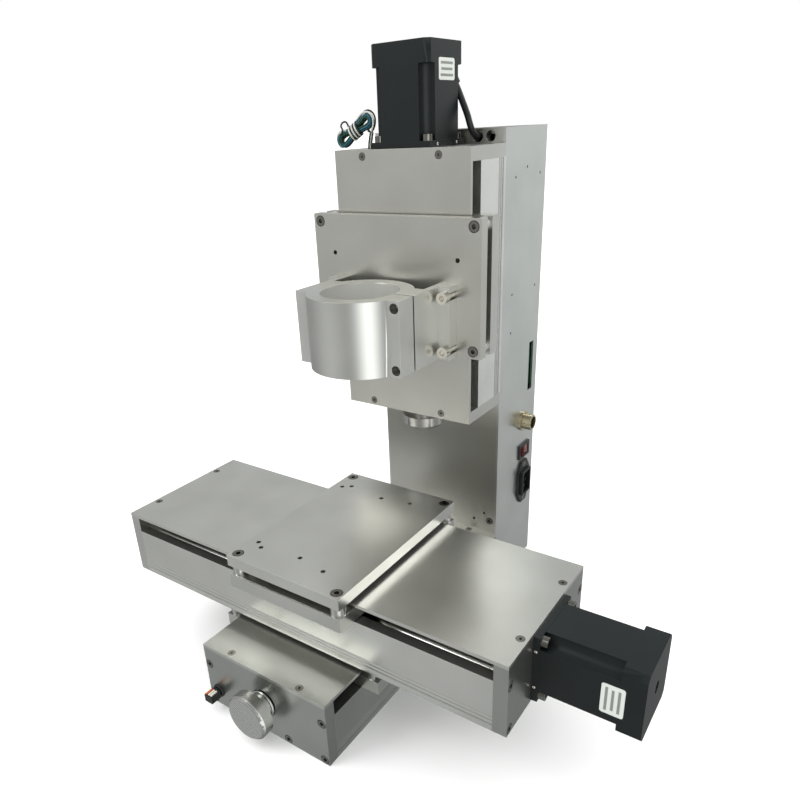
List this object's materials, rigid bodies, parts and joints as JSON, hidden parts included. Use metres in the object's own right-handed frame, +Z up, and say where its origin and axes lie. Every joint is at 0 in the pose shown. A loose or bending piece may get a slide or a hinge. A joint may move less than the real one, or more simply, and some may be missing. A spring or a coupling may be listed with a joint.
{
  "type": "cnc router",
  "caption": "Benchtop column-type router: moving saddle and cross table under an upright slide that carries an empty spindle clamp.",
  "frame": {"origin": "on the bench, straight below the spindle bore's axis, on the base module's underside", "axes": "+X to the operator's right, +Y from the front to the column, +Z up along the spindle axis"},
  "size_m": [0.471, 0.399, 0.523],
  "materials": {
    "anodised_aluminium": "satin anodised",
    "brushed_plate": "fine brushed",
    "turned_aluminium": "turned",
    "bright_steel": "ground",
    "nickel_screws": "bright",
    "nut_bronze": "machined",
    "black_motor": "satin",
    "black_plastic": "matte",
    "red_plastic": "gloss",
    "nickel_socket": "nickel plated",
    "supply_case": "folded sheet",
    "circuit_board": "lacquered",
    "black_cable": "matte",
    "sensor_wires": "matte"
  },
  "bodies": {
    "frame": {"base_channel": "anodised_aluminium", "base_front_plate": "anodised_aluminium", "base_rear_plate": "anodised_aluminium", "base_cover": "brushed_plate", "base_guide_rods": "bright_steel", "frame_bearings": "bright_steel", "base_motor": "black_motor", "front_plug": "black_plastic", "upright_channel": "anodised_aluminium", "upright_bottom_plate": "anodised_aluminium", "upright_top_plate": "anodised_aluminium", "upright_cover": "brushed_plate", "upright_guide_rods": "bright_steel", "upright_motor": "black_motor", "column_front_plate": "anodised_aluminium", "column_housing": "anodised_aluminium", "column_lid": "anodised_aluminium", "power_supply": "supply_case", "controller_board": "circuit_board", "signal_socket": "nickel_socket", "switch_bezel": "black_plastic", "power_inlet": "black_plastic", "frame_screws": "nickel_screws", "upright_motor_lead": "black_cable", "sensor_lead": "sensor_wires", "sensor_hank": "sensor_wires"},
    "base_drive": {"base_lead_screw": "bright_steel", "base_coupler": "anodised_aluminium", "base_motor_shaft": "bright_steel", "base_knob": "turned_aluminium"},
    "saddle": {"saddle_carriage": "anodised_aluminium", "saddle_nut": "nut_bronze", "saddle_plate": "brushed_plate", "cross_channel": "anodised_aluminium", "cross_left_plate": "anodised_aluminium", "cross_right_plate": "anodised_aluminium", "cross_cover": "brushed_plate", "cross_guide_rods": "bright_steel", "cross_bearing": "bright_steel", "cross_motor": "black_motor", "cross_screws": "nickel_screws"},
    "cross_drive": {"cross_lead_screw": "bright_steel", "cross_coupler": "anodised_aluminium", "cross_motor_shaft": "bright_steel"},
    "table": {"table_carriage": "anodised_aluminium", "table_nut": "nut_bronze", "table_plate": "brushed_plate", "table_screws": "nickel_screws"},
    "upright_drive": {"upright_lead_screw": "bright_steel", "upright_coupler": "anodised_aluminium", "upright_motor_shaft": "bright_steel", "upright_knob": "turned_aluminium"},
    "head": {"head_carriage": "anodised_aluminium", "head_nut": "nut_bronze", "head_plate": "brushed_plate", "head_screws": "nickel_screws", "spindle_clamp": "anodised_aluminium", "clamp_screws": "nickel_screws", "clamp_mount_screws": "nickel_screws"},
    "rocker": {"switch_rocker": "red_plastic"}
  },
  "joints": [
    {"name": "saddle_slide", "type": "slide", "parent": "frame", "child": "saddle", "axis": [0, 1, 0], "range_m": [-0.032, 0.097]},
    {"name": "base_screw_spin", "type": "hinge", "parent": "frame", "child": "base_drive", "pos_m": [0, -0.019, 0.031], "axis": [0, 1, 0], "range_deg": [-6990, 2310]},
    {"name": "table_slide", "type": "slide", "parent": "saddle", "child": "table", "axis": [1, 0, 0], "range_m": [-0.137, 0.112]},
    {"name": "cross_screw_spin", "type": "hinge", "parent": "saddle", "child": "cross_drive", "pos_m": [0.0044, -0.0605, 0.107], "axis": [1, 0, 0], "range_deg": [-8070, 9870]},
    {"name": "head_slide", "type": "slide", "parent": "frame", "child": "head", "axis": [0, 0, 1], "range_m": [-0.053, 0.037]},
    {"name": "upright_screw_spin", "type": "hinge", "parent": "frame", "child": "upright_drive", "pos_m": [0, 0.095, 0.328], "axis": [0, 0, 1], "range_deg": [-2670, 3820]},
    {"name": "power_switch", "type": "hinge", "parent": "frame", "child": "rocker", "pos_m": [0.0645, 0.188, 0.136], "axis": [0, 0, 1], "range_deg": [-20, 0]}
  ],
  "couplings": [
    {"joint": "base_screw_spin", "follows": "saddle_slide", "rad_per_m": -1256.6},
    {"joint": "cross_screw_spin", "follows": "table_slide", "rad_per_m": -1256.6},
    {"joint": "upright_screw_spin", "follows": "head_slide", "rad_per_m": -1256.6}
  ]
}
